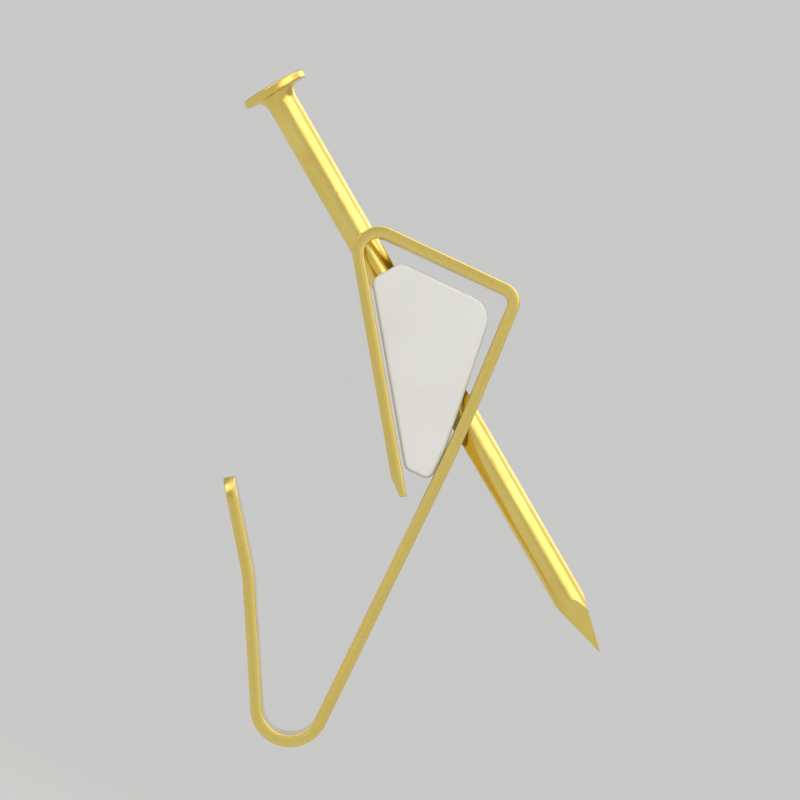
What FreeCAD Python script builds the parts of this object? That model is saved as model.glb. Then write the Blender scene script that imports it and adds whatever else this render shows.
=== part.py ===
import FreeCAD, Part
import math
import os

# A small picture hanger, sold with its nail already in place.
# One brass-plated steel strip is bent into a pocket at the top and a hook below.
# A plastic block in the pocket grips the nail, which slants down into the wall.
# Sizes are in millimetres and angles in degrees.
# The wall is the plane Y = 0 and lies towards +Y. Z points up and X runs across the strip.
# The origin is on the wall face of the back leg, halfway across the strip.

# The strip's section, and where the origin lies below its top corner
strip_width = 4.0
strip_thickness = 0.45
origin_drop = 13.0

# The back leg: a gentle bow in its upper part, then a flat stretch on the wall
leg_drop = 18.35
bow_drop = 6.0
upper_leg_lean = 3.5
bow_inside_radius = 60.0

# The pocket: top flange, nose, and a front flange that slants back to just short of the leg
top_corner_inside_radius = 0.33
top_flange_length = 7.75
top_flange_dip = 0.8
nose_inside_radius = 0.6
front_flange_slant = 36.0
front_end_gap = 0.6
front_end_taper_length = 0.8
front_end_taper_depth = 0.2

# The hook: bottom bend and lip, which opens out a little near its end
seat_inside_radius = 1.07
lip_slant = 29.5
lip_lower_length = 5.2
lip_flare = 8.0
lip_flare_inside_radius = 3.0
lip_upper_length = 3.8
lip_corner_radius = 0.9

# The nail, and how it lies in the hanger
nail_length = 25.4
shank_diameter = 1.2
head_diameter = 2.6
head_thickness = 0.35
head_rim_radius = 0.1
neck_flare = 0.2
neck_length = 0.45
point_length = 2.4
nail_slope = 34.0
nail_nose_offset = 0.32
nail_reach = 10.1

# The room round the nail in the two slots and in the block's bore
slot_side_clearance = 0.25
slot_end_clearance = 0.27
bore_clearance = 0.03

# The plastic block that grips the nail, and its gaps to the strip
holder_side_setback = 0.15
holder_front_gap = 0.12
holder_top_gap = 0.55
holder_mouth_gap = 1.3
holder_heel_gap = 0.04
holder_heel_height = 1.4
holder_bottom_width = 1.08
holder_back_tilt = 7.3
holder_mouth_radius = 0.35
holder_top_front_radius = 0.45
holder_top_back_radius = 0.95
holder_heel_radius = 3.0
holder_bottom_radius = 0.35
holder_edge_radius = 0.15

# How far a slot's space runs through the strip, and how near to a place an edge there is found
slot_cut_depth = 1.8
edge_nearness = 0.01


def side_point(y, drop):
    """A point of the side view, by its place before or behind the wall and its drop below the top corner."""
    return FreeCAD.Vector(0, y, origin_drop - drop)


def side_direction(angle):
    """A unit vector of the side view, turned by an angle from the way into the wall (+Y) towards up."""
    return FreeCAD.Vector(0, math.cos(math.radians(angle)), math.sin(math.radians(angle)))


def turned_right(vector):
    """The vector turned by a right angle, clockwise in the side view."""
    return FreeCAD.Vector(0, vector.z, -vector.y)


def unit_between(start, end):
    """The unit vector from one point to another."""
    return (end - start).normalize()


def lines_meet(point, along, other_point, other_along):
    """Where two straight lines of the side view cross."""
    square = turned_right(other_along)
    distance = (other_point - point).dot(square) / along.dot(square)
    return point + along * distance


# Directions of the strip's straight stretches, and towards its inner side

up = side_direction(90)
top_along = side_direction(top_flange_dip)
top_inward = turned_right(top_along)
front_along = side_direction(front_flange_slant - 90)
front_inward = turned_right(-front_along)
lip_lower_along = side_direction(90 + lip_slant)
lip_upper_along = side_direction(90 + lip_slant + lip_flare)
lip_inward = turned_right(lip_upper_along)

# Sharp corners of the strip's outer line, and the two ends of the strip

top_corner = side_point(-bow_drop * math.tan(math.radians(upper_leg_lean)), 0)
nose_corner = top_corner - top_along * top_flange_length
front_face = nose_corner + front_inward * strip_thickness
before_leg = side_point(-strip_thickness - front_end_gap, 0)
front_end = lines_meet(front_face, front_along, before_leg, up) - front_inward * strip_thickness
bow_corner = side_point(0, bow_drop)
half_seat_turn = (180 - lip_slant) / 2
seat_setback = (seat_inside_radius + strip_thickness) * math.tan(math.radians(half_seat_turn))
seat_corner = side_point(0, leg_drop + seat_setback)
lip_bend_corner = seat_corner + lip_lower_along * (seat_setback + lip_lower_length)
lip_end = lip_bend_corner + lip_upper_along * lip_upper_length

# The nail's line, which passes just below the centre of the nose bend

nose_outside_radius = nose_inside_radius + strip_thickness
nose_centre = lines_meet(
    nose_corner + front_inward * nose_outside_radius,
    front_along,
    nose_corner + top_inward * nose_outside_radius,
    top_along,
)
nail_direction = side_direction(-nail_slope)
nail_place = nose_centre + turned_right(nail_direction) * nail_nose_offset
nail_exit = lines_meet(nail_place, nail_direction, side_point(0, 0), up)
shank_radius = shank_diameter / 2
slot_width = shank_diameter + 2 * slot_side_clearance
holder_width = strip_width - 2 * holder_side_setback


def bend(before, corner, after, inside_radius):
    """The three points of a bend's arc on the outer line, and the three on the inner line.

    The corner lies on the strip's outer line, and the strip lies to the right of that line.
    """
    inward = turned_right(unit_between(before, corner))
    inward_after = turned_right(unit_between(corner, after))
    half_turn = unit_between(before, corner).getAngle(unit_between(corner, after)) / 2
    closes_inward = unit_between(corner, after).dot(inward) > 0
    outer_radius = inside_radius + strip_thickness if closes_inward else -inside_radius
    inner_radius = outer_radius - strip_thickness
    start = corner - unit_between(before, corner) * abs(outer_radius) * math.tan(half_turn)
    centre = start + inward * outer_radius
    spokes = [inward, (inward + inward_after).normalize(), inward_after]
    outer = [centre - spoke * outer_radius for spoke in spokes]
    inner = [centre - spoke * inner_radius for spoke in spokes]
    return outer, inner


def strip_bends():
    """The five bends of the strip, from the nose round to the lip."""
    nose = bend(front_end, nose_corner, top_corner, nose_inside_radius)
    top = bend(nose_corner, top_corner, bow_corner, top_corner_inside_radius)
    bow = bend(top_corner, bow_corner, seat_corner, bow_inside_radius)
    seat = bend(bow_corner, seat_corner, lip_bend_corner, seat_inside_radius)
    lip = bend(seat_corner, lip_bend_corner, lip_end, lip_flare_inside_radius)
    return [nose, top, bow, seat, lip]


def joined_arcs(start, arcs, end):
    """Straight edges and arcs that run from the start point through each arc to the end point."""
    edges = []
    place = start
    for first, middle, last in arcs:
        edges.append(Part.LineSegment(place, first).toShape())
        edges.append(Part.Arc(first, middle, last).toShape())
        place = last
    edges.append(Part.LineSegment(place, end).toShape())
    return edges


def strip_profile():
    """The bent strip's side outline, with both faces, the tapered front end and the square lip end."""
    taper_start = front_end - front_along * front_end_taper_length
    taper_end = front_end + front_inward * front_end_taper_depth
    inner_front_end = front_end + front_inward * strip_thickness
    inner_lip_end = lip_end + lip_inward * strip_thickness
    bends = strip_bends()
    outer_arcs = [outer for outer, inner in bends]
    inner_arcs = [inner[::-1] for outer, inner in reversed(bends)]
    edges = [Part.LineSegment(taper_end, taper_start).toShape()]
    edges += joined_arcs(taper_start, outer_arcs, lip_end)
    edges.append(Part.LineSegment(lip_end, inner_lip_end).toShape())
    edges += joined_arcs(inner_lip_end, inner_arcs, inner_front_end)
    edges.append(Part.LineSegment(inner_front_end, taper_end).toShape())
    return Part.Face(Part.Wire(edges))


def flat_face(corners):
    """A flat face with straight sides between its corners."""
    return Part.Face(Part.makePolygon(corners + corners[:1]))


def across(face, width):
    """A side outline made solid, to the given width and centred on X = 0."""
    face.translate(FreeCAD.Vector(-width / 2, 0, 0))
    return face.extrude(FreeCAD.Vector(width, 0, 0))


def pierced_hole(centre, outward):
    """The space of a round hole as wide as the slots, square to the strip and through its middle point."""
    start = centre - outward * (slot_cut_depth / 2)
    return Part.makeCylinder(slot_width / 2, slot_cut_depth, start, outward)


def pierced_slot(first_centre, last_centre, outward):
    """The space of a round-ended slot between two middle points of the strip."""
    side = FreeCAD.Vector(slot_width / 2, 0, 0)
    outline = flat_face([first_centre - side, first_centre + side, last_centre + side, last_centre - side])
    outline.translate(outward * (-slot_cut_depth / 2))
    straight = outline.extrude(outward * slot_cut_depth)
    return straight.fuse([pierced_hole(first_centre, outward), pierced_hole(last_centre, outward)])


def leg_slot():
    """The slot in the back leg, centred on the slanting nail."""
    slope = math.radians(nail_slope)
    room = (shank_diameter + 2 * slot_end_clearance) / math.cos(slope)
    length = room + strip_thickness * math.tan(slope)
    half_straight = up * ((length - slot_width) / 2)
    centre = nail_exit - nail_direction * (strip_thickness / 2 / math.cos(slope))
    return pierced_slot(centre - half_straight, centre + half_straight, side_direction(0))


def nose_slot():
    """The slot round the nose, from the top flange's edge to just past the nail on the front flange."""
    middle_radius = nose_inside_radius + strip_thickness / 2
    front_middle = nose_centre - front_inward * middle_radius
    top_middle = nose_centre - top_inward * middle_radius
    inner_start = nose_centre - front_inward * nose_inside_radius
    under_nail = nail_exit + turned_right(nail_direction) * (shank_radius + slot_end_clearance)
    slot_end = lines_meet(inner_start, front_along, under_nail, nail_direction)
    reach = (slot_end - inner_start).dot(front_along) - slot_width / 2
    on_front = pierced_slot(front_middle, front_middle + front_along * reach, -front_inward)
    span = nose_inside_radius + slot_cut_depth
    before_nose = flat_face([
        nose_centre,
        nose_centre - front_inward * span,
        nose_corner + (nose_corner - nose_centre),
        nose_centre - top_inward * span,
    ])
    return on_front.fuse([pierced_hole(top_middle, -top_inward), across(before_nose, slot_width)])


def lip_end_edges(solid):
    """The two short edges at the corners of the lip's end."""
    middle = lip_end + lip_inward * (strip_thickness / 2)
    half = FreeCAD.Vector(strip_width / 2, 0, 0)
    edges = []
    for edge in solid.Edges:
        distances = [(edge.CenterOfMass - place).Length for place in (middle - half, middle + half)]
        if min(distances) < edge_nearness:
            edges.append(edge)
    return edges


def hook_strip():
    """The bent strip with its two nail slots and its rounded lip."""
    solid = across(strip_profile(), strip_width)
    solid = solid.makeFillet(lip_corner_radius, lip_end_edges(solid))
    return solid.cut([leg_slot(), nose_slot()])


def rounded_outline(corners, radii):
    """A closed side outline through the corners, each rounded to its radius."""
    arcs = []
    for index, (corner, radius) in enumerate(zip(corners, radii)):
        back = unit_between(corner, corners[index - 1])
        onward = unit_between(corner, corners[(index + 1) % len(corners)])
        half_angle = back.getAngle(onward) / 2
        setback = radius / math.tan(half_angle)
        bisector = (back + onward).normalize()
        middle = corner + bisector * (radius / math.sin(half_angle) - radius)
        arcs.append((corner + back * setback, middle, corner + onward * setback))
    first, middle, last = arcs[-1]
    edges = joined_arcs(last, arcs[:-1], first)
    edges.append(Part.Arc(first, middle, last).toShape())
    return Part.Face(Part.Wire(edges))


def holder_corners():
    """The sharp corners of the block's side outline, from the mouth's lower edge round by the top."""
    front_place = nose_corner + front_inward * (strip_thickness + holder_front_gap)
    top_place = nose_corner + top_inward * (strip_thickness + holder_top_gap)
    mouth_place = nose_centre + nail_direction * (holder_mouth_gap - nose_inside_radius)
    mouth_along = turned_right(nail_direction)
    heel_line = side_point(-strip_thickness - holder_heel_gap, 0)
    front_bottom_line = heel_line - side_direction(0) * holder_bottom_width
    bottom_front = lines_meet(front_place, front_along, front_bottom_line, up)
    bottom_back = bottom_front + side_direction(0) * holder_bottom_width
    heel = bottom_back + up * holder_heel_height
    back_along = side_direction(90 + holder_back_tilt)
    return [
        lines_meet(front_place, front_along, mouth_place, mouth_along),
        lines_meet(top_place, top_along, mouth_place, mouth_along),
        lines_meet(top_place, top_along, heel, back_along),
        heel,
        bottom_back,
        bottom_front,
    ]


def nail_holder():
    """The plastic block with softened edges, bored along the nail."""
    radii = [
        holder_mouth_radius,
        holder_top_front_radius,
        holder_top_back_radius,
        holder_heel_radius,
        holder_bottom_radius,
        holder_bottom_radius,
    ]
    block = across(rounded_outline(holder_corners(), radii), holder_width)
    rims = [edge for edge in block.Edges if edge.BoundBox.XLength < holder_width / 2]
    block = block.makeFillet(holder_edge_radius, rims)
    bore_start = nail_exit - nail_direction * nail_length
    bore = Part.makeCylinder(shank_radius + bore_clearance, nail_length, bore_start, nail_direction)
    return block.cut(bore)


def head_rim_arcs():
    """The two rounded rims of the nail's head, below and above, on a nail that stands on its point."""
    rim_radius = head_diameter / 2 - head_rim_radius
    arcs = []
    for height, angles in (
        (nail_length - head_thickness + head_rim_radius, (-90, -45, 0)),
        (nail_length - head_rim_radius, (0, 45, 90)),
    ):
        centre = FreeCAD.Vector(0, rim_radius, height)
        arcs.append([centre + side_direction(angle) * head_rim_radius for angle in angles])
    return arcs


def point_flats():
    """A square pyramid that stands on its tip, and whose sides are the flats of the nail's point."""
    height = nail_length + point_length
    half_side = height * shank_radius / point_length
    signs = [(-1, -1), (1, -1), (1, 1), (-1, 1)]
    corners = [FreeCAD.Vector(x * half_side, y * half_side, height) for x, y in signs]
    tip = FreeCAD.Vector(0, 0, 0)
    faces = [flat_face(corners)]
    for index, corner in enumerate(corners):
        faces.append(flat_face([tip, corners[index - 1], corner]))
    return Part.makeSolid(Part.makeShell(faces))


def nail():
    """The nail: flat head, short neck, round shank and a point with four flats."""
    neck_top = nail_length - head_thickness
    outline = [
        (0, nail_length),
        (0, 0),
        (shank_radius, 0),
        (shank_radius, neck_top - neck_length),
        (shank_radius + neck_flare, neck_top),
    ]
    places = [FreeCAD.Vector(0, radius, height) for radius, height in outline]
    edges = Part.makePolygon(places).Edges + joined_arcs(places[-1], head_rim_arcs(), places[0])
    section = Part.Face(Part.Wire(edges))
    body = section.revolve(FreeCAD.Vector(0, 0, 0), FreeCAD.Vector(0, 0, 1), 360)
    body = body.common(point_flats())
    tip = nail_exit + nail_direction * nail_reach
    turn = FreeCAD.Rotation(FreeCAD.Vector(0, 0, 1), -nail_direction)
    body.Placement = FreeCAD.Placement(tip, turn)
    return body


os.makedirs("parts", exist_ok=True)
hook_strip().exportStep("parts/hook_strip.step")
nail_holder().exportStep("parts/nail_holder.step")
nail().exportStep("parts/nail.step")
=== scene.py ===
import logging
import math
from collections.abc import Iterable, Sequence
from dataclasses import dataclass, field, replace
from enum import Enum
from functools import cached_property, reduce

import bmesh
import bpy
from mathutils import Matrix, Vector


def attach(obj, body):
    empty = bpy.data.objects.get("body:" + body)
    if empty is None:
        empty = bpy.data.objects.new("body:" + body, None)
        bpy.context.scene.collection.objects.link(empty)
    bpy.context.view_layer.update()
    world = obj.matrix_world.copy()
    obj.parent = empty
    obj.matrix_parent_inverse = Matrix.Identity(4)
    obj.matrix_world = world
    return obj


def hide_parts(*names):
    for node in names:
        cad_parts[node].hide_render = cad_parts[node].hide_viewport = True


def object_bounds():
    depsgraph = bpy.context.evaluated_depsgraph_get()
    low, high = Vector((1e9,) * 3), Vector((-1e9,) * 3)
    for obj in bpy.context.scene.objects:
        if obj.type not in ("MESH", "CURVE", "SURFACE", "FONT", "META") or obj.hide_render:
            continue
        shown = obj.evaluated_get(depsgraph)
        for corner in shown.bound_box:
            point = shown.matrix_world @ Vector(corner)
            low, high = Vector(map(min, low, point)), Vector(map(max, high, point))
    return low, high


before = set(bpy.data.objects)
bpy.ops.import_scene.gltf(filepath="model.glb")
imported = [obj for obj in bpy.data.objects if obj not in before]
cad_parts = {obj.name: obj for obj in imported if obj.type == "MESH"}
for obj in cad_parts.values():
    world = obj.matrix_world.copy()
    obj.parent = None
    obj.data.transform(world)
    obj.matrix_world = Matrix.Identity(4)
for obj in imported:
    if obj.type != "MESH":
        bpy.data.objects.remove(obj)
CAD_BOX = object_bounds()

# The looks of a small picture hanger: a bent brass-plated strip, a white plastic block and a nail.
# The wall is the plane Y = 0 and lies towards +Y. Z points up and X runs across the strip.
# Lengths are in metres and angles in degrees.

MM = 0.001
ALONG_X = Vector((1, 0, 0))
ALONG_Y = Vector((0, 1, 0))
ALONG_Z = Vector((0, 0, 1))
SAME_PLACE = 0.001 * MM
NOISE_MEAN = 0.5
SHARP_EDGES = {"limit_method": "ANGLE", "angle_limit": math.radians(60), "use_clamp_overlap": False}
BEND_SIZES = ("start", "arc", "turn", "centre")
SHOWING_RAYS = ("Is Camera Ray", "Is Glossy Ray", "Is Transmission Ray")

log = logging.getLogger("picture_hook")

Colour = tuple[float, float, float]
Grid = list[list[Vector]]
Key = int | str
Sockets = dict[Key, object]


class Sense(Enum):
    """Which way a bend turns: it closes the strip round the hanger's inside, or opens it outwards."""

    CLOSES = 1
    OPENS = -1


class Way(Enum):
    """Which way a run of the blank leaves the back leg's flat stretch."""

    UP = 1
    DOWN = -1


def side_direction(angle: float) -> Vector:
    """A unit vector of the side view, turned from the way into the wall (+Y) towards up."""
    return Vector((0, math.cos(math.radians(angle)), math.sin(math.radians(angle))))


def turned_right(vector: Vector) -> Vector:
    """The vector turned by a right angle, clockwise in the side view."""
    return Vector((0, vector.z, -vector.y))


def lines_meet(point: Vector, along: Vector, other_point: Vector, other_along: Vector) -> Vector:
    """Where two lines of the side view cross, each given by a point and a direction."""
    square = turned_right(other_along)
    return point + along * ((other_point - point).dot(square) / along.dot(square))


def spaced(low: float, high: float, count: int) -> list[float]:
    """Evenly spaced values from low to high, both of them included."""
    return [low + (high - low) * index / count for index in range(count + 1)]


class Wire:
    """An output socket of a node tree, on which Python's operators add Math nodes."""

    def __init__(self, tree: "NodeTree", socket: bpy.types.NodeSocket) -> None:
        """Keeps the tree and the socket."""
        self.tree = tree
        self.socket = socket

    def math(self, operation: str, *values: "Value") -> "Wire":
        """The result of a Math node on this wire and other values."""
        return self.tree.add("ShaderNodeMath", dict(enumerate((self, *values))), operation=operation)

    def reflected(self, operation: str, value: "Value") -> "Wire":
        """The result of a Math node on another value and this wire."""
        return self.tree.add("ShaderNodeMath", {0: value, 1: self}, operation=operation)

    def __add__(self, other: "Value") -> "Wire":
        """Adds two values."""
        return self.math("ADD", other)

    def __sub__(self, other: "Value") -> "Wire":
        """Takes the other value from this one."""
        return self.math("SUBTRACT", other)

    def __rsub__(self, other: "Value") -> "Wire":
        """Takes this value from the other one."""
        return self.reflected("SUBTRACT", other)

    def __mul__(self, other: "Value") -> "Wire":
        """Multiplies two values."""
        return self.math("MULTIPLY", other)

    def __truediv__(self, other: "Value") -> "Wire":
        """Divides this value by the other one."""
        return self.math("DIVIDE", other)

    def __rtruediv__(self, other: "Value") -> "Wire":
        """Divides the other value by this one."""
        return self.reflected("DIVIDE", other)

    __radd__ = __add__
    __rmul__ = __mul__

    def at_least(self, other: "Value") -> "Wire":
        """The larger of two values."""
        return self.math("MAXIMUM", other)

    def clamped(self) -> "Wire":
        """This value kept between 0 and 1."""
        return self.at_least(0.0).math("MINIMUM", 1.0)

    def size(self) -> "Wire":
        """This value without its sign."""
        return self.math("ABSOLUTE")

    def parts(self) -> list["Wire"]:
        """The three parts of a vector."""
        node = self.tree.node("ShaderNodeSeparateXYZ", {0: self})
        return [Wire(self.tree, output) for output in node.outputs]

    def scaled(self, factors: Sequence[float]) -> "Wire":
        """A vector with each of its parts multiplied by a factor."""
        return self.tree.add("ShaderNodeVectorMath", {0: self, 1: factors}, operation="MULTIPLY")

    def ramp(self, low: float, high: float) -> "Wire":
        """A smooth step of this value, from 0 at low to 1 at high."""
        inputs = {"Value": self, "From Min": low, "From Max": high}
        return self.tree.add("ShaderNodeMapRange", inputs, interpolation_type="SMOOTHSTEP")


Value = Wire | float


class NodeTree:
    """A node tree that is written as Python expressions."""

    def __init__(self, tree: bpy.types.NodeTree) -> None:
        """Keeps the tree and empties it."""
        self.tree = tree
        self.tree.nodes.clear()

    @staticmethod
    def socket(sockets: Iterable[bpy.types.NodeSocket], key: Key) -> bpy.types.NodeSocket:
        """Finds a socket by its place, or the first one in use with a name."""
        named = (socket for socket in sockets if socket.name == key and socket.enabled)
        return sockets[key] if isinstance(key, int) else next(named)

    def node(self, kind: str, inputs: Sockets | None = None, **settings: object) -> bpy.types.Node:
        """Adds a node.

        Args:
            kind: The node's type.
            inputs: Its sockets by place or by name, each with a value, a colour or a wire.
            settings: Its own settings, which are made before its sockets are filled.

        Returns:
            The new node.
        """
        node = self.tree.nodes.new(kind)
        for name, value in settings.items():
            setattr(node, name, value)
        for key, value in (inputs or {}).items():
            socket = self.socket(node.inputs, key)
            if isinstance(value, Wire):
                self.tree.links.new(value.socket, socket)
            elif socket.type == "RGBA":
                socket.default_value = (*value, 1.0)
            else:
                socket.default_value = value
        return node

    def add(self, kind: str, inputs: Sockets | None = None, output: Key = 0, **settings: object) -> Wire:
        """Adds a node as node() does, and gives one of its outputs, by place or by name."""
        return Wire(self, self.socket(self.node(kind, inputs, **settings).outputs, output))

    def blend(self, share: Value, first: "Colour | Wire", second: "Colour | Wire") -> Wire:
        """Mixes two colours, by the second one's share from 0 to 1."""
        inputs = {"Factor": share, "A": first, "B": second}
        return self.add("ShaderNodeMix", inputs, "Result", data_type="RGBA")


class ShaderTree(NodeTree):
    """The node tree of a new material."""

    def __init__(self, name: str) -> None:
        """Makes a material and takes its tree.

        Args:
            name: The material's name.
        """
        self.material = bpy.data.materials.new(name)
        self.material.use_nodes = True
        super().__init__(self.material.node_tree)

    def surface(self, shader: Wire) -> bpy.types.Material:
        """Makes a shader the material's surface and gives the material."""
        self.node("ShaderNodeOutputMaterial", {"Surface": shader})
        return self.material

    def principled(self, inputs: Sockets) -> bpy.types.Material:
        """Makes a Principled shader the material's surface and gives the material."""
        return self.surface(self.add("ShaderNodeBsdfPrincipled", inputs))

    def object_place(self) -> Wire:
        """The place on the piece, in metres."""
        return self.add("ShaderNodeTexCoord", output="Object")

    def bump(self, height: Wire, depth: float) -> Wire:
        """A surface normal from a height that is a share of the depth in metres."""
        return self.add("ShaderNodeBump", {"Strength": 1.0, "Distance": depth, "Height": height}, "Normal")


@dataclass(frozen=True)
class Pattern:
    """A noise over a surface, and what it does there.

    The grain is how fine it is along each axis, per metre, and the step cuts patches or marks out of it.
    The tone is its share in the colour, the dulling goes to the roughness and the height to the relief.
    """

    grain: tuple[float, float, float]
    detail: float = 2.0
    roughness: float = 0.5
    step: tuple[float, float] | None = None
    tone: float = 0.0
    dulling: float = 0.0
    height: float = 0.0

    def over(self, place: Wire) -> Wire:
        """Lays the noise over a surface.

        Args:
            place: The place on the surface.

        Returns:
            The noise, or its patches from 0 to 1 where there is a step.
        """
        inputs = {"Vector": place.scaled(self.grain), "Scale": 1.0}
        inputs |= {"Detail": self.detail, "Roughness": self.roughness}
        noise = place.tree.add("ShaderNodeTexNoise", inputs, "Fac")
        return noise.ramp(*self.step) if self.step else noise


@dataclass(frozen=True)
class StripPlating:
    """Bright brass plating on rolled and sheared steel strip.

    It reads two attributes of the strip: blank, the place on the flat blank, and sheared, the cut edges.
    The torn part of a cut edge lies next to the inner face.
    """

    thickness: float
    name: str = "bright_brass_plated_strip"
    tint: Colour = (0.93, 0.74, 0.235)
    shade: Colour = (0.80, 0.59, 0.155)
    cut_edge: Colour = (0.89, 0.71, 0.205)
    roughness: float = 0.14
    depth: float = 0.004 * MM
    polish: Pattern = Pattern((420, 420, 420), 3.0, 0.55, (0.3, 0.7), tone=0.55, dulling=0.06)
    rolling: Pattern = Pattern((9000, 900, 260), 3.0, 0.6, tone=0.2, dulling=0.18, height=0.9)
    waves: Pattern = Pattern((330, 330, 330), 1.0, 0.4, height=3.5)
    specks: Pattern = Pattern((900, 900, 900), step=(0.55, 0.65), tone=0.5, dulling=0.2, height=-0.6)
    speck_grain: float = 1500.0
    speck_edge: tuple[float, float] = (0.05, 0.16)
    scratches: Pattern = Pattern((8200, 500, 190), 0.0, step=(0.71, 0.78), height=-0.45)
    scratch_slant: float = 24.0
    tears: Pattern = Pattern((1200, 2600, 16000), 2.0, 0.6, dulling=0.2, height=1.6)
    tear_zone: tuple[float, float] = (-0.75, -0.45)
    shear_tone: float = 0.6
    shear_dulling: float = 0.08
    shear_height: float = 0.8

    def material(self) -> bpy.types.Material:
        """Makes the material: rolling lines, faint tarnish, specks, scratches and shear marks.

        Returns:
            The material.
        """
        tree = ShaderTree(self.name)
        blank = tree.add("ShaderNodeAttribute", output="Vector", attribute_name="blank")
        sheared = tree.add("ShaderNodeAttribute", output="Fac", attribute_name="sheared")
        polish, rolling, waves = (each.over(blank) for each in (self.polish, self.rolling, self.waves))
        spots = tree.add("ShaderNodeTexVoronoi", {"Vector": blank, "Scale": self.speck_grain}, "Distance")
        specks = self.specks.over(blank) * (1.0 - spots.ramp(*self.speck_edge))
        slant = {"Vector": blank, "Rotation": (0.0, math.radians(self.scratch_slant), 0.0)}
        scratches = self.scratches.over(tree.add("ShaderNodeMapping", slant))
        tears = self.tears.over(blank)
        torn = sheared * (1.0 - (blank.parts()[1] / self.thickness).ramp(*self.tear_zone))

        tone = polish * self.polish.tone + rolling * self.rolling.tone
        colour = tree.blend(tone, self.shade, self.tint)
        colour = tree.blend(specks * self.specks.tone, colour, self.shade)
        colour = tree.blend(sheared * self.shear_tone, colour, self.cut_edge)
        roughness = self.roughness + (rolling - NOISE_MEAN) * self.rolling.dulling
        roughness += (1.0 - polish) * self.polish.dulling + specks * self.specks.dulling
        roughness += sheared * self.shear_dulling + torn * (tears * self.tears.dulling + self.shear_dulling)
        faces = waves * self.waves.height + rolling * self.rolling.height
        faces += scratches * self.scratches.height + specks * self.specks.height
        edges = tears * (sheared * self.shear_height + torn * self.tears.height)
        normal = tree.bump(faces * (1.0 - sheared) + edges, self.depth)
        metal = {"Base Color": colour, "Metallic": 1.0, "Roughness": roughness, "Normal": normal}
        return tree.principled(metal)


@dataclass(frozen=True)
class NailPlating:
    """Bright brass plating on drawn wire, with a struck head and a pinched point.

    Its patterns lie along the nail, whose tip and tilt from the upright it is given.
    """

    tip: Vector
    tilt: float
    length: float
    head_thickness: float
    point_length: float
    name: str = "bright_brass_plated_nail"
    tint: Colour = (0.94, 0.76, 0.235)
    shade: Colour = (0.83, 0.625, 0.16)
    roughness: float = 0.17
    depth: float = 0.004 * MM
    polish: Pattern = Pattern((520, 520, 520), 3.0, 0.55, (0.35, 0.68), tone=0.6, dulling=0.06)
    drawing: Pattern = Pattern((9500, 9500, 210), 3.0, 0.65, tone=0.25, dulling=0.16, height=2.2)
    nicks: Pattern = Pattern((2600, 2600, 1500), 1.0, step=(0.68, 0.78), tone=0.4, height=-0.9)
    cuts: Pattern = Pattern((900, 900, 9000), 2.0, 0.6, dulling=0.16, height=1.2)
    struck: Pattern = Pattern((2600, 2600, 2600), 2.0, 0.6, dulling=0.14, height=1.8)
    point_fade: tuple[float, float] = (0.85, 1.0)
    head_fade: float = 0.05 * MM

    def material(self) -> bpy.types.Material:
        """Makes the material: drawing lines on the shank, die marks on the head, cut marks on the point.

        Returns:
            The material.
        """
        tree = ShaderTree(self.name)
        turn = (math.radians(self.tilt), 0.0, 0.0)
        inputs = {"Vector": tree.object_place(), "Location": self.tip, "Rotation": turn}
        place = tree.add("ShaderNodeMapping", inputs, vector_type="TEXTURE")
        along = place.parts()[2]
        polish, drawing, nicks = (each.over(place) for each in (self.polish, self.drawing, self.nicks))
        point = 1.0 - (along / self.point_length).ramp(*self.point_fade)
        head = (along - (self.length - self.head_thickness)).ramp(0.0, self.head_fade)
        cuts = point * self.cuts.over(place)
        struck = head * self.struck.over(place)

        tone = polish * self.polish.tone + drawing * self.drawing.tone
        colour = tree.blend(tone, self.shade, self.tint)
        colour = tree.blend(nicks * self.nicks.tone, colour, self.shade)
        roughness = self.roughness + (drawing - NOISE_MEAN) * self.drawing.dulling
        roughness += (1.0 - polish) * self.polish.dulling
        roughness += cuts * self.cuts.dulling + struck * self.struck.dulling
        shank = drawing * self.drawing.height + nicks * self.nicks.height
        ends = cuts * self.cuts.height + struck * self.struck.height
        normal = tree.bump(shank * (1.0 - point) * (1.0 - head) + ends, self.depth)
        metal = {"Base Color": colour, "Metallic": 1.0, "Roughness": roughness, "Normal": normal}
        return tree.principled(metal)


@dataclass(frozen=True)
class WhitePlastic:
    """Off-white moulded plastic, a little translucent, with a fine spark-eroded grain."""

    name: str = "off_white_moulded_plastic"
    tint: Colour = (0.775, 0.77, 0.74)
    shade: Colour = (0.725, 0.715, 0.675)
    roughness: float = 0.38
    depth: float = 0.005 * MM
    glow: float = 0.15
    glow_depth: float = 0.25 * MM
    grain: Pattern = Pattern((11000, 11000, 11000), 3.0, 0.6, dulling=0.18, height=0.9)
    patches: Pattern = Pattern((190, 190, 190), step=(0.25, 0.75), dulling=0.05)
    rubs: Pattern = Pattern((2200, 700, 4200), 1.0, step=(0.68, 0.78), tone=0.3, dulling=-0.08, height=-0.4)

    def material(self) -> bpy.types.Material:
        """Makes the material: a soft grain, a little tone and faint rubs.

        Returns:
            The material.
        """
        tree = ShaderTree(self.name)
        place = tree.object_place()
        grain, patches, rubs = (each.over(place) for each in (self.grain, self.patches, self.rubs))
        colour = tree.blend(patches, self.shade, self.tint)
        colour = tree.blend(rubs * self.rubs.tone, colour, self.shade)
        roughness = self.roughness + (grain - NOISE_MEAN) * self.grain.dulling
        roughness += (patches - NOISE_MEAN) * self.patches.dulling + rubs * self.rubs.dulling
        normal = tree.bump(grain * self.grain.height + rubs * self.rubs.height, self.depth)
        return tree.principled({
            "Base Color": colour,
            "Roughness": roughness,
            "Subsurface Weight": self.glow,
            "Subsurface Scale": self.glow_depth,
            "Subsurface Radius": (1.0, 1.0, 1.0),
            "Normal": normal,
        })


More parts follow.
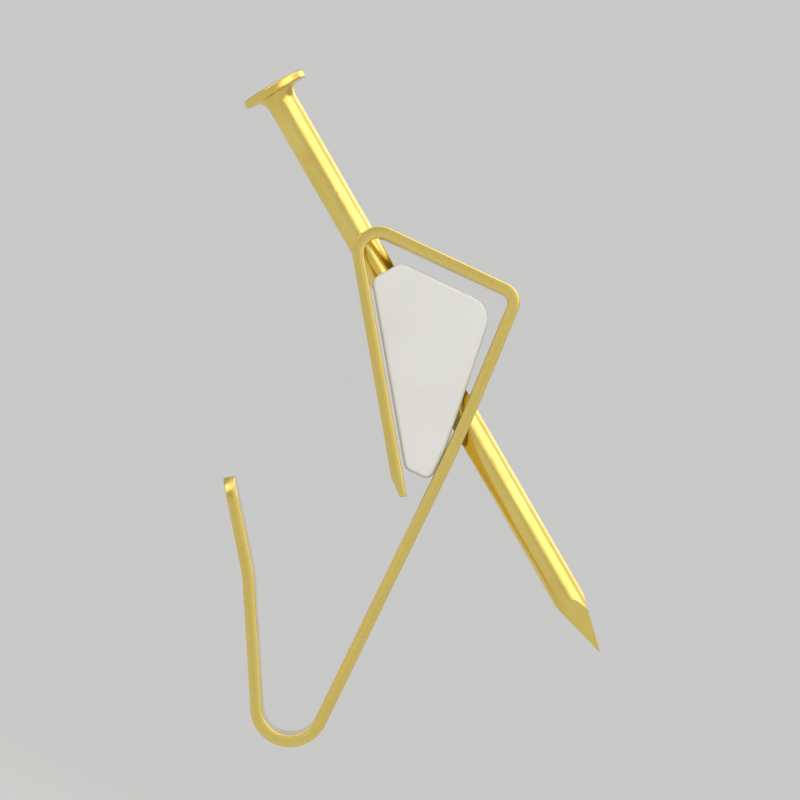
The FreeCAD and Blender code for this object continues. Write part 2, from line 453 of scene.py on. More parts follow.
@dataclass(frozen=True)
class Layout:
    """The sizes and places of the side view that the strip, the block and the nail share."""

    strip_width: float = 4.0 * MM
    strip_thickness: float = 0.45 * MM
    origin_drop: float = 13.0 * MM
    bow_drop: float = 6.0 * MM
    upper_leg_lean: float = 3.5
    top_flange_length: float = 7.75 * MM
    top_flange_dip: float = 0.8
    nose_inside_radius: float = 0.6 * MM
    front_flange_slant: float = 36.0
    shank_diameter: float = 1.2 * MM
    nail_slope: float = 34.0
    nail_nose_offset: float = 0.32 * MM

    @cached_property
    def top_along(self) -> Vector:
        """The top flange's direction, from the nose to the leg."""
        return side_direction(self.top_flange_dip)

    @cached_property
    def top_inward(self) -> Vector:
        """From the top flange towards the pocket."""
        return turned_right(self.top_along)

    @cached_property
    def front_along(self) -> Vector:
        """The front flange's direction, from the nose to its free end."""
        return side_direction(self.front_flange_slant - 90)

    @cached_property
    def front_inward(self) -> Vector:
        """From the front flange towards the pocket."""
        return turned_right(-self.front_along)

    @cached_property
    def nose_corner(self) -> Vector:
        """The sharp outer corner of the nose."""
        lean = self.bow_drop * math.tan(math.radians(self.upper_leg_lean))
        return Vector((0, -lean, self.origin_drop)) - self.top_along * self.top_flange_length

    @cached_property
    def nose_centre(self) -> Vector:
        """Works out the centre of the nose bend.

        Returns:
            The centre, which is as far from the top flange's outer face as from the front flange's.
        """
        radius = self.nose_inside_radius + self.strip_thickness
        front = self.nose_corner + self.front_inward * radius
        top = self.nose_corner + self.top_inward * radius
        return lines_meet(front, self.front_along, top, self.top_along)

    @cached_property
    def nail_direction(self) -> Vector:
        """The way the nail is driven, down into the wall."""
        return side_direction(-self.nail_slope)

    @cached_property
    def nail_exit(self) -> Vector:
        """Where the nail's axis crosses the wall plane."""
        place = self.nose_centre + turned_right(self.nail_direction) * self.nail_nose_offset
        return lines_meet(place, self.nail_direction, Vector((0, 0, 0)), ALONG_Z)

    def spokes(self, count: int) -> list[Vector]:
        """Lays out unit vectors evenly round the nail's axis, square to it.

        Args:
            count: How many there are.

        Returns:
            The unit vectors, the first of them along X.
        """
        side = turned_right(self.nail_direction)
        angles = spaced(0.0, 2 * math.pi, count)[:-1]
        return [ALONG_X * math.cos(angle) + side * math.sin(angle) for angle in angles]


def new_object(name: str, data: bpy.types.ID) -> bpy.types.Object:
    """Puts a mesh, a light or a camera in the scene as an object that sits at the origin.

    Args:
        name: The object's name.
        data: What it shows.

    Returns:
        The object.
    """
    item = bpy.data.objects.new(name, data)
    bpy.context.scene.collection.objects.link(item)
    return item


def new_mesh(name: str, shape: bmesh.types.BMesh) -> bpy.types.Mesh:
    """Turns a shape into a mesh with smooth faces that point outwards, and frees the shape.

    Args:
        name: The mesh's name.
        shape: The shape.

    Returns:
        The mesh.
    """
    bmesh.ops.recalc_face_normals(shape, faces=shape.faces)
    for face in shape.faces:
        face.smooth = True
    mesh = bpy.data.meshes.new(name)
    shape.to_mesh(mesh)
    shape.free()
    return mesh


def add_grid(shape: bmesh.types.BMesh, rows: Grid, closed: bool = False) -> list[list[bmesh.types.BMVert]]:
    """Adds a grid of points to a shape, with four-sided faces between its rows.

    Args:
        shape: The shape.
        rows: The points, row by row.
        closed: Whether each row is a ring.

    Returns:
        The new corners, row by row.
    """
    corners = [[shape.verts.new(point) for point in row] for row in rows]
    for near, far in zip(corners, corners[1:]):
        for index in range(0 if closed else 1, len(near)):
            shape.faces.new((near[index - 1], near[index], far[index], far[index - 1]))
    return corners


def add_modifier(piece: bpy.types.Object, kind: str, **settings: object) -> bpy.types.Modifier:
    """Adds a modifier to a piece.

    Args:
        piece: The piece.
        kind: The modifier's type.
        settings: Its settings.

    Returns:
        The modifier.
    """
    modifier = piece.modifiers.new(kind.lower(), kind)
    for name, value in settings.items():
        setattr(modifier, name, value)
    return modifier


def settle(piece: bpy.types.Object) -> None:
    """Turns a piece and its modifiers into a plain mesh whose flats shade flat.

    Args:
        piece: The piece.
    """
    add_modifier(piece, "WEIGHTED_NORMAL", keep_sharp=True)
    graph = bpy.context.evaluated_depsgraph_get()
    mesh = bpy.data.meshes.new_from_object(
        piece.evaluated_get(graph), preserve_all_data_layers=True, depsgraph=graph
    )
    piece.modifiers.clear()
    piece.data = mesh


@dataclass(frozen=True)
class Bend:
    """One bend of the strip, by its inside radius and its angle, and its place on the flat blank.

    It starts as far from the origin as start says, on the run that goes its way.
    """

    name: str
    inside_radius: float
    angle: float
    thickness: float
    steps: int
    sense: Sense = Sense.CLOSES
    start: float = 0.0
    way: Way = Way.UP

    @property
    def setback(self) -> float:
        """From the sharp corner of the outer line to where the bend begins."""
        outer = self.inside_radius + (self.thickness if self.sense is Sense.CLOSES else 0.0)
        return outer * math.tan(math.radians(self.angle) / 2)

    @property
    def middle_radius(self) -> float:
        """The radius at the middle of the strip's thickness."""
        return self.inside_radius + self.thickness / 2

    @property
    def arc(self) -> float:
        """The bend's length on the flat blank."""
        return self.middle_radius * math.radians(self.angle)

    @property
    def turn(self) -> float:
        """The turn in radians, above zero where the bend closes."""
        return math.radians(self.angle) * self.sense.value

    @property
    def centre(self) -> float:
        """The place of the bend's centre through the blank, whose outer face is at zero."""
        return -self.thickness / 2 - self.middle_radius * self.sense.value

    @property
    def span(self) -> tuple[float, float]:
        """The bend's lower and its upper end on the blank."""
        low = min(self.start * self.way.value, (self.start + self.arc) * self.way.value)
        return low, low + self.arc


@dataclass(frozen=True)
class Slot:
    """A round-ended slot along the blank."""

    low: float
    high: float
    half_width: float

    def end_centre(self, way: Way) -> float:
        """The place along the blank of a round end's centre."""
        return self.high - self.half_width if way is Way.UP else self.low + self.half_width


@dataclass
class BentStrip:
    """The strip: a pierced flat blank that Geometry Nodes fold into pocket, leg and hook."""

    layout: Layout
    leg_drop: float = 18.35 * MM
    bow_inside_radius: float = 60.0 * MM
    top_corner_inside_radius: float = 0.33 * MM
    front_end_gap: float = 0.6 * MM
    taper_length: float = 0.8 * MM
    taper_depth: float = 0.2 * MM
    seat_inside_radius: float = 1.07 * MM
    lip_slant: float = 29.5
    lip_lower_length: float = 5.2 * MM
    lip_flare: float = 8.0
    lip_flare_inside_radius: float = 3.0 * MM
    lip_upper_length: float = 3.8 * MM
    lip_corner_radius: float = 0.9 * MM
    slot_side_clearance: float = 0.25 * MM
    slot_end_clearance: float = 0.27 * MM
    edge_radius: float = 0.05 * MM
    edge_segments: int = 3
    row_spacing: float = 0.3 * MM
    column_counts: tuple[int, int, int] = (2, 2, 4)
    bow_steps: int = 12
    top_corner_steps: int = 24
    nose_steps: int = 36
    seat_steps: int = 48
    flare_steps: int = 8
    corner_steps: int = 12
    frame_steps: int = 4
    bends: dict[str, Bend] = field(init=False)
    top_end: float = field(init=False)
    bottom_end: float = field(init=False)

    def __post_init__(self) -> None:
        """Lays the bends out along the blank, upwards and downwards from the leg's flat stretch."""
        layout = self.layout
        thickness = layout.strip_thickness
        top_angle = 90 + layout.top_flange_dip - layout.upper_leg_lean
        nose_angle = 90 + layout.front_flange_slant - layout.top_flange_dip
        bow = Bend("bow", self.bow_inside_radius, layout.upper_leg_lean, thickness, self.bow_steps)
        top = Bend("top corner", self.top_corner_inside_radius, top_angle, thickness, self.top_corner_steps)
        nose = Bend("nose", layout.nose_inside_radius, nose_angle, thickness, self.nose_steps)
        seat = Bend("seat", self.seat_inside_radius, 180 - self.lip_slant, thickness, self.seat_steps)
        flare = Bend(
            "flare", self.lip_flare_inside_radius, self.lip_flare, thickness, self.flare_steps, Sense.OPENS
        )

        upper_leg = layout.bow_drop / math.cos(math.radians(layout.upper_leg_lean))
        flat_top = layout.origin_drop - layout.bow_drop - bow.setback
        bow_to_top = upper_leg - bow.setback - top.setback
        top_to_nose = layout.top_flange_length - top.setback - nose.setback
        slant = math.radians(layout.front_flange_slant)
        inner_nose = layout.nose_corner.y + thickness * math.cos(slant)
        front_flange = (-thickness - self.front_end_gap - inner_nose) / math.sin(slant)
        upward = [(bow, bow_to_top), (top, top_to_nose), (nose, front_flange - nose.setback)]
        seat_to_flare = self.lip_lower_length - flare.setback
        downward = [(seat, seat_to_flare), (flare, self.lip_upper_length - flare.setback)]
        runs = [(Way.UP, flat_top, upward), (Way.DOWN, self.leg_drop - layout.origin_drop, downward)]
        self.bends, ends = {}, []
        for way, place, stretches in runs:
            for bend, straight in stretches:
                self.bends[bend.name] = replace(bend, start=place, way=way)
                place += bend.arc + straight
            ends.append(place)
        self.top_end, self.bottom_end = ends

    @property
    def slot_half_width(self) -> float:
        """Half the width of both nail slots."""
        return self.layout.shank_diameter / 2 + self.slot_side_clearance

    def leg_slot(self) -> Slot:
        """Places the slot in the back leg.

        Returns:
            The slot, centred on the slanting nail.
        """
        slope = math.radians(self.layout.nail_slope)
        thickness = self.layout.strip_thickness
        room = (self.layout.shank_diameter + 2 * self.slot_end_clearance) / math.cos(slope)
        half_length = (room + thickness * math.tan(slope)) / 2
        centre = self.layout.nail_exit.z + thickness / 2 * math.tan(slope)
        return Slot(centre - half_length, centre + half_length, self.slot_half_width)

    def nose_slot(self) -> Slot:
        """Places the slot round the nose.

        Returns:
            The slot, from the top flange's edge to just past the nail on the front flange.
        """
        layout = self.layout
        inner_start = layout.nose_centre - layout.front_inward * layout.nose_inside_radius
        room = layout.shank_diameter / 2 + self.slot_end_clearance
        under_nail = layout.nail_exit + turned_right(layout.nail_direction) * room
        end = lines_meet(inner_start, layout.front_along, under_nail, layout.nail_direction)
        reach = (end - inner_start).dot(layout.front_along)
        low, high = self.bends["nose"].span
        return Slot(low - self.slot_half_width, high + reach, self.slot_half_width)

    def columns(self, low: float, high: float) -> list[float]:
        """Chooses the blank's columns on one side of its middle line.

        Args:
            low: The least distance from the middle line.
            high: The largest distance from it.

        Returns:
            The columns' distances from the middle line, within these limits.
        """
        half = self.layout.strip_width / 2
        stops = [0.0, self.slot_half_width, half - self.lip_corner_radius, half]
        places = [0.0]
        for first, last, count in zip(stops, stops[1:], self.column_counts):
            places += spaced(first, last, count)[1:]
        return [place for place in places if low <= place <= high]

    def across(self, high: float) -> list[float]:
        """The columns of both sides, out to a distance from the middle line."""
        half = self.columns(0.0, high)
        return [-place for place in reversed(half) if place > 0] + half

    def rows(self, low: float, high: float) -> list[float]:
        """Chooses the rows of a stretch of the blank, closer together in the bends.

        Args:
            low: The stretch's lower end.
            high: The stretch's upper end.

        Returns:
            The rows' places along the blank.
        """
        breaks = [self.top_end - self.taper_length]
        for bend in self.bends.values():
            breaks += bend.span
        stops = sorted([low, high, *(place for place in breaks if low < place < high)])
        places = [low]
        for first, last in zip(stops, stops[1:]):
            spacing = self.row_spacing
            for bend in self.bends.values():
                if bend.span[0] < (first + last) / 2 < bend.span[1]:
                    spacing = min(spacing, bend.arc / bend.steps)
            places += spaced(first, last, math.ceil((last - first) / spacing))[1:]
        return places

    def plain_stretch(self, low: float, high: float) -> Grid:
        """The grid of a stretch that has no slot."""
        across = self.across(self.layout.strip_width / 2)
        return [[Vector((x, 0.0, place)) for x in across] for place in self.rows(low, high)]

    def lip_end(self) -> list[Grid]:
        """Lays out the lip's end.

        Returns:
            The grids of its middle and of its two rounded corners.
        """
        half = self.layout.strip_width / 2
        corner = half - self.lip_corner_radius
        base = self.lip_corner_radius - self.bottom_end
        radii = [place - corner for place in self.columns(corner, half)]
        across = self.across(corner)
        grids = [[[Vector((x, 0.0, base - radius)) for x in across] for radius in radii]]
        angles = spaced(0.0, math.pi / 2, self.corner_steps)
        for side in (-1, 1):
            centre = Vector((side * corner, 0.0, base))
            spokes = [Vector((side * math.cos(angle), 0.0, -math.sin(angle))) for angle in angles]
            grids.append([[centre + spoke * radius for radius in radii] for spoke in spokes])
        return grids

    def slot_surround(self, slot: Slot) -> list[Grid]:
        """Lays out the blank round a slot.

        Args:
            slot: The slot.

        Returns:
            The grids of its two sides, and of the rays from each round end to a square frame.
        """
        half = self.layout.strip_width / 2
        columns = self.columns(slot.half_width, half)
        shares = [(place - slot.half_width) / (half - slot.half_width) for place in columns]
        rows = self.rows(slot.end_centre(Way.DOWN), slot.end_centre(Way.UP))
        grids = [[[Vector((side * x, 0.0, place)) for x in columns] for place in rows] for side in (-1, 1)]
        for way in Way:
            centre = slot.end_centre(way)
            upward = [(half, rise) for rise in spaced(0.0, half, self.frame_steps)[:-1]]
            over = [(x, half) for x in reversed(self.across(half))]
            rim = upward + over + [(-x, rise) for x, rise in reversed(upward)]
            rays = []
            for (x, rise), angle in zip(rim, spaced(0.0, math.pi, len(rim) - 1)):
                outer = Vector((x, 0.0, rise * way.value + centre))
                turned = Vector((math.cos(angle), 0.0, math.sin(angle) * way.value))
                inner = turned * slot.half_width + ALONG_Z * centre
                rays.append([inner.lerp(outer, share) for share in shares])
            grids.append(rays)
        return grids

    def blank_mesh(self) -> bpy.types.Mesh:
        """Builds the pierced blank's outer face.

        Returns:
            The mesh, made of grids that follow the blank's outline and its slots.
        """
        half = self.layout.strip_width / 2
        grids = self.lip_end()
        low = self.lip_corner_radius - self.bottom_end
        for slot in (self.leg_slot(), self.nose_slot()):
            grids.append(self.plain_stretch(low, slot.end_centre(Way.DOWN) - half))
            grids += self.slot_surround(slot)
            low = slot.end_centre(Way.UP) + half
        grids.append(self.plain_stretch(low, self.top_end))
        shape = bmesh.new()
        for grid in grids:
            add_grid(shape, grid)
        bmesh.ops.remove_doubles(shape, verts=shape.verts, dist=SAME_PLACE)
        mesh = new_mesh("strip_blank", shape)
        if mesh.polygons[0].normal.y < 0:
            mesh.flip_normals()
        return mesh

    def folding_sizes(self) -> dict[str, float]:
        """Names the sizes that the folding takes.

        Returns:
            The sizes by the names of the folding's inputs.
        """
        sizes = {
            "Thickness": self.layout.strip_thickness,
            "Taper start": self.top_end - self.taper_length,
            "Taper length": self.taper_length,
            "Taper depth": self.taper_depth,
        }
        for name, bend in self.bends.items():
            sizes.update({f"{name} {size}": getattr(bend, size) for size in BEND_SIZES})
        return sizes

    def folding(self) -> bpy.types.NodeTree:
        """Builds the Geometry Nodes that mark, taper and fold the blank, the outermost bends first.

        Returns:
            The node group, with the blank, the material and the folding's sizes as inputs.
        """
        group = bpy.data.node_groups.new("fold_strip", "GeometryNodeTree")
        group.interface.new_socket("Geometry", in_out="OUTPUT", socket_type="NodeSocketGeometry")
        inputs = {"Geometry": "NodeSocketGeometry", "Material": "NodeSocketMaterial"}
        inputs |= dict.fromkeys(self.folding_sizes(), "NodeSocketFloat")
        for name, kind in inputs.items():
            group.interface.new_socket(name, in_out="INPUT", socket_type=kind)
        tree = NodeTree(group)
        given = tree.node("NodeGroupInput")
        sizes = {socket.name: Wire(tree, socket) for socket in given.outputs if socket.name}
        position = tree.add("GeometryNodeInputPosition")
        store = "GeometryNodeStoreNamedAttribute"
        inputs = {"Geometry": sizes["Geometry"], "Name": "blank", "Value": position}
        geometry = tree.add(store, inputs, data_type="FLOAT_VECTOR", domain="POINT")
        flatness = tree.add("GeometryNodeInputNormal").parts()[1].size()
        inputs = {"Geometry": geometry, "Name": "sheared", "Value": 1.0 - flatness}
        geometry = tree.add(store, inputs, data_type="FLOAT", domain="FACE")
        blank = tree.add("GeometryNodeInputNamedAttribute", {"Name": "blank"}, data_type="FLOAT_VECTOR")
        through, along = blank.parts()[1:]

        share = ((along - sizes["Taper start"]) / sizes["Taper length"]).clamped()
        cut = share * sizes["Taper depth"] * (through + sizes["Thickness"]) / sizes["Thickness"]
        offset = tree.add("ShaderNodeCombineXYZ", {"Y": cut * -1.0})
        geometry = tree.add("GeometryNodeSetPosition", {"Geometry": geometry, "Offset": offset})
        for name, bend in reversed(self.bends.items()):
            way = float(bend.way.value)
            start, arc, turn, centre = (sizes[f"{name} {size}"] for size in BEND_SIZES)
            share = ((along * way - start) / arc).clamped()
            back = tree.add("ShaderNodeCombineXYZ", {"Z": share * arc * -way})
            inputs = {
                "Vector": tree.add("ShaderNodeVectorMath", {0: position, 1: back}, operation="ADD"),
                "Center": tree.add("ShaderNodeCombineXYZ", {"Y": centre, "Z": start * way}),
                "Angle": share * turn * way,
            }
            folded = tree.add("ShaderNodeVectorRotate", inputs, rotation_type="X_AXIS")
            geometry = tree.add("GeometryNodeSetPosition", {"Geometry": geometry, "Position": folded})
        geometry = tree.add("GeometryNodeRealizeInstances", {"Geometry": geometry})
        inputs = {"Geometry": geometry, "Material": sizes["Material"]}
        tree.node("NodeGroupOutput", {"Geometry": tree.add("GeometryNodeSetMaterial", inputs)})
        return group

    def build(self) -> bpy.types.Object:
        """Builds, folds and dresses the strip, and sets it in the place of its CAD node.

        Returns:
            The strip.
        """
        thickness = self.layout.strip_thickness
        strip = new_object("brass_strip", self.blank_mesh())
        add_modifier(strip, "SOLIDIFY", thickness=thickness, offset=-1.0)
        add_modifier(strip, "BEVEL", width=self.edge_radius, segments=self.edge_segments, **SHARP_EDGES)
        group = self.folding()
        fold = add_modifier(strip, "NODES", node_group=group)
        values = {**self.folding_sizes(), "Material": StripPlating(thickness).material()}
        for item in group.interface.items_tree:
            if item.in_out == "INPUT" and item.name in values:
                fold[item.identifier] = values[item.name]
        settle(strip)
        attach(strip, "hanger")
        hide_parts("hook_strip")
        return strip


@dataclass
class GripBlock:
    """The white block in the pocket, bored along the nail."""

    layout: Layout
    side_setback: float = 0.15 * MM
    front_gap: float = 0.12 * MM
    top_gap: float = 0.55 * MM
    mouth_gap: float = 1.3 * MM
    heel_gap: float = 0.04 * MM
    heel_height: float = 1.4 * MM
    bottom_width: float = 1.08 * MM
    back_tilt: float = 7.3
    mouth_radius: float = 0.35 * MM
    top_front_radius: float = 0.45 * MM
    top_back_radius: float = 0.95 * MM
    heel_radius: float = 3.0 * MM
    bottom_radius: float = 0.35 * MM
    edge_radius: float = 0.15 * MM
    edge_segments: int = 5
    shading_angle: float = 30.0
    bore_clearance: float = 0.03 * MM
    bore_countersink: float = 0.06 * MM
    arc_steps: int = 14
    bore_steps: int = 72

    def mouth_centre(self) -> Vector:
        """A point of the mouth, the face square to the nail behind the nose."""
        reach = self.mouth_gap - self.layout.nose_inside_radius
        return self.layout.nose_centre + self.layout.nail_direction * reach

    def corners(self) -> list[tuple[Vector, float]]:
        """Works out the side outline's sharp corners.

        Returns:
            Each corner and its radius, from the mouth's lower edge round by the top.
        """
        layout = self.layout
        inner_front = layout.strip_thickness + self.front_gap
        front = layout.nose_corner + layout.front_inward * inner_front
        top = layout.nose_corner + layout.top_inward * (layout.strip_thickness + self.top_gap)
        mouth, mouth_along = self.mouth_centre(), turned_right(layout.nail_direction)
        heel_line = ALONG_Y * (-layout.strip_thickness - self.heel_gap)
        front_bottom_line = heel_line - ALONG_Y * self.bottom_width
        bottom_front = lines_meet(front, layout.front_along, front_bottom_line, ALONG_Z)
        bottom_back = bottom_front + ALONG_Y * self.bottom_width
        heel = bottom_back + ALONG_Z * self.heel_height
        back_along = side_direction(90 + self.back_tilt)
        return [
            (lines_meet(front, layout.front_along, mouth, mouth_along), self.mouth_radius),
            (lines_meet(top, layout.top_along, mouth, mouth_along), self.top_front_radius),
            (lines_meet(top, layout.top_along, heel, back_along), self.top_back_radius),
            (heel, self.heel_radius),
            (bottom_back, self.bottom_radius),
            (bottom_front, self.bottom_radius),
        ]

    def outline(self) -> list[Vector]:
        """Rounds the side outline's corners.

        Returns:
            The outline's points in order.
        """
        corners = self.corners()
        shares = spaced(0.0, 1.0, self.arc_steps)
        points = []
        for index, (corner, radius) in enumerate(corners):
            back = (corners[index - 1][0] - corner).normalized()
            onward = (corners[(index + 1) % len(corners)][0] - corner).normalized()
            half_angle = back.angle(onward) / 2
            centre = corner + (back + onward).normalized() * (radius / math.sin(half_angle))
            start = corner + back * (radius / math.tan(half_angle)) - centre
            end = corner + onward * (radius / math.tan(half_angle)) - centre
            points += [centre + start.slerp(end, share) * radius for share in shares]
        return points

    def block_mesh(self) -> bpy.types.Mesh:
        """Builds the block without its bore.

        Returns:
            The mesh.
        """
        half = ALONG_X * (self.layout.strip_width / 2 - self.side_setback)
        shape = bmesh.new()
        rows = [[point + side for point in self.outline()] for side in (half, -half)]
        for ring in add_grid(shape, rows, closed=True):
            shape.faces.new(ring)
        return new_mesh("block", shape)

    def bore_mesh(self) -> bpy.types.Mesh:
        """Builds the bore's space.

        Returns:
            The mesh, which widens to a small countersink at the mouth.
        """
        along = self.layout.nail_direction
        length = (self.layout.nail_exit - self.mouth_centre()).dot(along)
        mouth = self.layout.nail_exit - along * length
        radius = self.layout.shank_diameter / 2 + self.bore_clearance
        sink = self.bore_countersink
        spokes = self.layout.spokes(self.bore_steps)
        profile = ((-sink, radius + 2 * sink), (sink, radius), (length, radius))
        shape = bmesh.new()
        rows = [[mouth + along * depth + spoke * wide for spoke in spokes] for depth, wide in profile]
        rings = add_grid(shape, rows, closed=True)
        shape.faces.new(rings[0])
        shape.faces.new(rings[-1])
        return new_mesh("bore", shape)

    def build(self) -> bpy.types.Object:
        """Builds and dresses the block, and sets it in the place of its CAD node.

        Returns:
            The block.
        """
        block = new_object("plastic_block", self.block_mesh())
        block.data.materials.append(WhitePlastic().material())
        bore = new_object("bore_space", self.bore_mesh())
        add_modifier(block, "BEVEL", width=self.edge_radius, segments=self.edge_segments, **SHARP_EDGES)
        add_modifier(block, "BOOLEAN", operation="DIFFERENCE", solver="EXACT", object=bore)
        settle(block)
        block.data.set_sharp_from_angle(angle=math.radians(self.shading_angle))
        bpy.data.objects.remove(bore)
        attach(block, "hanger")
        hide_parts("nail_holder")
        return block


@dataclass
class WireNail:
    """The nail: a flat head, a short neck, a round shank and a point with four flats."""

    layout: Layout
    length: float = 25.4 * MM
    head_diameter: float = 2.6 * MM
    head_thickness: float = 0.35 * MM
    head_rim_radius: float = 0.1 * MM
    neck_flare: float = 0.2 * MM
    neck_length: float = 0.45 * MM
    point_length: float = 2.4 * MM
    reach: float = 10.1 * MM
    columns: int = 96
    rim_steps: int = 5
    neck_steps: int = 8
    sharp_angle: float = 50.0

    @property
    def tip(self) -> Vector:
        """The nail's tip."""
        return self.layout.nail_exit + self.layout.nail_direction * self.reach

    def upper_profile(self) -> list[tuple[float, float]]:
        """Works out the rings above the point: the shank's end, the hollow neck and the head's rim.

        Returns:
            Each ring's height above the tip and its radius, up to the edge of the head's flat top.
        """
        radius = self.layout.shank_diameter / 2
        neck_top = self.length - self.head_thickness
        profile = []
        for share in spaced(0.0, 1.0, self.neck_steps):
            height = neck_top - self.neck_length * (1.0 - share)
            profile.append((height, radius + self.neck_flare * share**2))
        rim_centre = self.head_diameter / 2 - self.head_rim_radius
        lower, upper = neck_top + self.head_rim_radius, self.length - self.head_rim_radius
        for height, first in ((lower, -90), (upper, 0)):
            for angle in spaced(math.radians(first), math.radians(first + 90), self.rim_steps):
                rise = self.head_rim_radius * math.sin(angle)
                profile.append((height + rise, rim_centre + self.head_rim_radius * math.cos(angle)))
        return profile

    def nail_mesh(self) -> bpy.types.Mesh:
        """Builds the nail.

        Returns:
            The mesh, with sharp edges where the point's flats meet each other and the shank.
        """
        up = -self.layout.nail_direction
        spokes = self.layout.spokes(self.columns)
        crease = []
        for spoke in spokes:
            height = self.point_length * max(abs(spoke.x), math.hypot(spoke.y, spoke.z))
            crease.append(self.tip + up * height + spoke * (self.layout.shank_diameter / 2))
        profile = self.upper_profile()
        upper = [[self.tip + up * height + spoke * radius for spoke in spokes] for height, radius in profile]
        shape = bmesh.new()
        rings = add_grid(shape, [crease, *upper], closed=True)
        shape.faces.new(rings[-1])
        tip = shape.verts.new(self.tip)
        lowest = rings[0]
        for index in range(self.columns):
            shape.faces.new((tip, lowest[index - 1], lowest[index]))
        bmesh.ops.recalc_face_normals(shape, faces=shape.faces)
        flat = self.columns // 4
        sharp = [shape.edges.get((tip, lowest[index])) for index in range(flat // 2, self.columns, flat)]
        sharp += [shape.edges.get((lowest[index - 1], lowest[index])) for index in range(self.columns)]
        limit = math.radians(self.sharp_angle)
        sharp += [edge for edge in shape.edges if edge.calc_face_angle() > limit]
        for edge in sharp:
            edge.smooth = False
        return new_mesh("wire_nail", shape)

    def build(self) -> bpy.types.Object:
        """Builds and dresses the nail, and sets it in the place of its CAD node.

        Returns:
            The nail.
        """
        nail = new_object("wire_nail", self.nail_mesh())
        tilt = 90 - self.layout.nail_slope
        plating = NailPlating(self.tip, tilt, self.length, self.head_thickness, self.point_length)
        nail.data.materials.append(plating.material())
        settle(nail)
        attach(nail, "nail")
        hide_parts("nail")
        return nail


def shown(tree: NodeTree) -> Wire:
    """A value of 1 for rays that show the surround, also on metal and through glass, and 0 for others."""
    path = tree.node("ShaderNodeLightPath")
    return reduce(Wire.at_least, (Wire(tree, path.outputs[name]) for name in SHOWING_RAYS))


@dataclass(frozen=True)
class Lamp:
    """A square soft lamp that fades towards its borders, by its direction and distance from the hook."""

    name: str
    towards: tuple[float, float, float]
    distance: float
    size: float
    watts: float
    fade: tuple[float, float] = (0.18, 0.5)

    def hang(self, middle: Vector) -> None:
        """Hangs the lamp in the scene.

        Args:
            middle: The place that it shines on.
        """
        light = bpy.data.lights.new(self.name, "AREA")
        light.size = self.size
        light.energy = self.watts
        light.use_nodes = True
        tree = NodeTree(light.node_tree)
        sides = tree.add("ShaderNodeNewGeometry", output="Parametric").parts()[:2]
        across, upward = ((side - 0.5).size() for side in sides)
        strength = 1.0 - across.at_least(upward).ramp(*self.fade)
        glow = tree.add("ShaderNodeEmission", {"Strength": strength})
        tree.node("ShaderNodeOutputLight", {"Surface": glow})
        lamp = new_object(self.name, light)
        direction = Vector(self.towards).normalized()
        lamp.location = middle + direction * self.distance
        lamp.rotation_euler = direction.to_track_quat("Z", "Y").to_euler()
        lamp.visible_camera = False


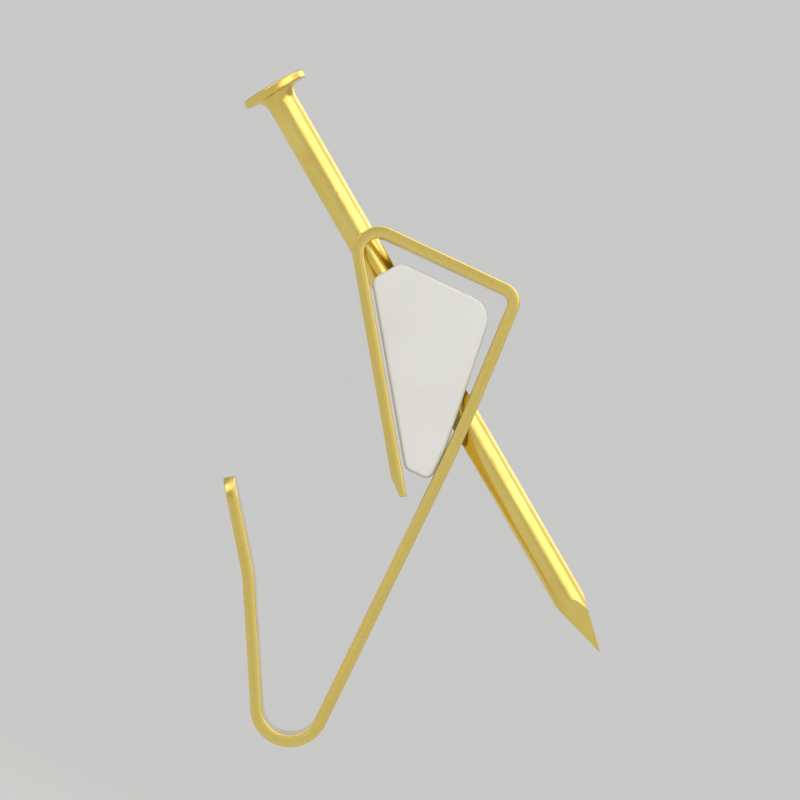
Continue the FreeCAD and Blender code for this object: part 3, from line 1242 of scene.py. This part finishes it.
@dataclass
class Studio:
    """A pale floor, a pale surround, soft lamps and the camera at the photograph's angle.

    The bands give how high a ray looks, from 0 at the horizon to 1 overhead, where the surround changes.
    """

    horizon: Colour = (0.58, 0.58, 0.575)
    room: Colour = (0.42, 0.39, 0.34)
    zenith: Colour = (0.96, 0.96, 0.95)
    room_band: tuple[float, float] = (0.10, 0.24)
    zenith_band: tuple[float, float] = (0.60, 0.85)
    floor_tint: Colour = (0.51, 0.51, 0.505)
    floor_gap: float = 12.0 * MM
    floor_reach: float = 900.0 * MM
    floor_fade: tuple[float, float] = (30.0 * MM, 150.0 * MM)
    fill_strength: float = 0.93
    roll: float = 26.0
    frame_height: float = 31.0 * MM
    lens: float = 320.0
    clip_range: tuple[float, float] = (13.0 * MM, 3600.0 * MM)
    middle: Vector = field(default_factory=lambda: Vector((0.0, -2.9 * MM, 7.15 * MM)))
    lamps: tuple[Lamp, ...] = (
        Lamp("key_lamp", (0.67, 0.42, 0.62), distance=0.30, size=0.41, watts=0.62),
        Lamp("front_lamp", (0.35, -0.85, 0.50), distance=0.32, size=0.32, watts=0.35),
        Lamp("far_lamp", (-0.75, 0.35, 0.60), distance=0.32, size=0.32, watts=0.36),
        Lamp("top_lamp", (-0.1, -0.2, 1.0), distance=0.34, size=0.30, watts=0.24),
    )

    def floor(self) -> None:
        """Lays a wide pale floor below the hook, which fades into the surround."""
        height = CAD_BOX[0].z - self.floor_gap
        ends = (-self.floor_reach, self.floor_reach)
        shape = bmesh.new()
        add_grid(shape, [[Vector((x, y, height)) for x in ends] for y in ends])
        floor = new_object("floor", new_mesh("floor", shape))

        tree = ShaderTree("pale_floor")
        level = tree.object_place().scaled((1.0, 1.0, 0.0))
        distance = tree.add("ShaderNodeVectorMath", {0: level}, "Value", operation="LENGTH")
        diffuse = tree.add("ShaderNodeBsdfDiffuse", {"Color": self.floor_tint})
        strength = shown(tree) * (1.0 - self.fill_strength) + self.fill_strength
        light = tree.add("ShaderNodeEmission", {"Color": self.horizon, "Strength": strength})
        inputs = {0: distance.ramp(*self.floor_fade), 1: diffuse, 2: light}
        floor.data.materials.append(tree.surface(tree.add("ShaderNodeMixShader", inputs)))

    def surround(self) -> None:
        """Makes a world that is pale behind the hook and overhead, with a greyer band between them."""
        world = bpy.data.worlds.new("studio")
        world.use_nodes = True
        bpy.context.scene.world = world
        tree = NodeTree(world.node_tree)
        upward = tree.add("ShaderNodeTexCoord", output="Generated").parts()[2]
        lower = tree.blend(upward.ramp(*self.room_band), self.horizon, self.room)
        colour = tree.blend(upward.ramp(*self.zenith_band), lower, self.zenith)
        surround = tree.add("ShaderNodeBackground", {"Color": colour, "Strength": 1.0})
        fill = tree.add("ShaderNodeBackground", {"Color": self.zenith, "Strength": self.fill_strength})
        mixed = tree.add("ShaderNodeMixShader", {0: shown(tree), 1: fill, 2: surround})
        tree.node("ShaderNodeOutputWorld", {"Surface": mixed})

    def camera(self) -> None:
        """Sets the camera level with the hook at its side and rolls it as in the photograph."""
        data = bpy.data.cameras.new("camera")
        data.lens = self.lens
        data.clip_start, data.clip_end = self.clip_range
        camera = new_object("camera", data)
        right = side_direction(self.roll)
        turn = Matrix((right, -turned_right(right), ALONG_X)).transposed()
        distance = self.frame_height * self.lens / data.sensor_width
        camera.matrix_world = Matrix.Translation(self.middle + ALONG_X * distance) @ turn.to_4x4()
        bpy.context.scene.camera = camera

    def build(self) -> None:
        """Sets up the whole studio."""
        self.floor()
        self.surround()
        for lamp in self.lamps:
            lamp.hang(self.middle)
        self.camera()
        bpy.context.scene.view_settings.view_transform = "Standard"


def main() -> None:
    """Builds the pieces and the studio."""
    logging.basicConfig(level=logging.INFO, format="%(message)s")
    layout = Layout()
    for part in (BentStrip(layout), GripBlock(layout), WireNail(layout)):
        piece = part.build()
        log.info("%s: %d faces", piece.name, len(piece.data.polygons))
    Studio().build()


if __name__ == "__main__":
    main()
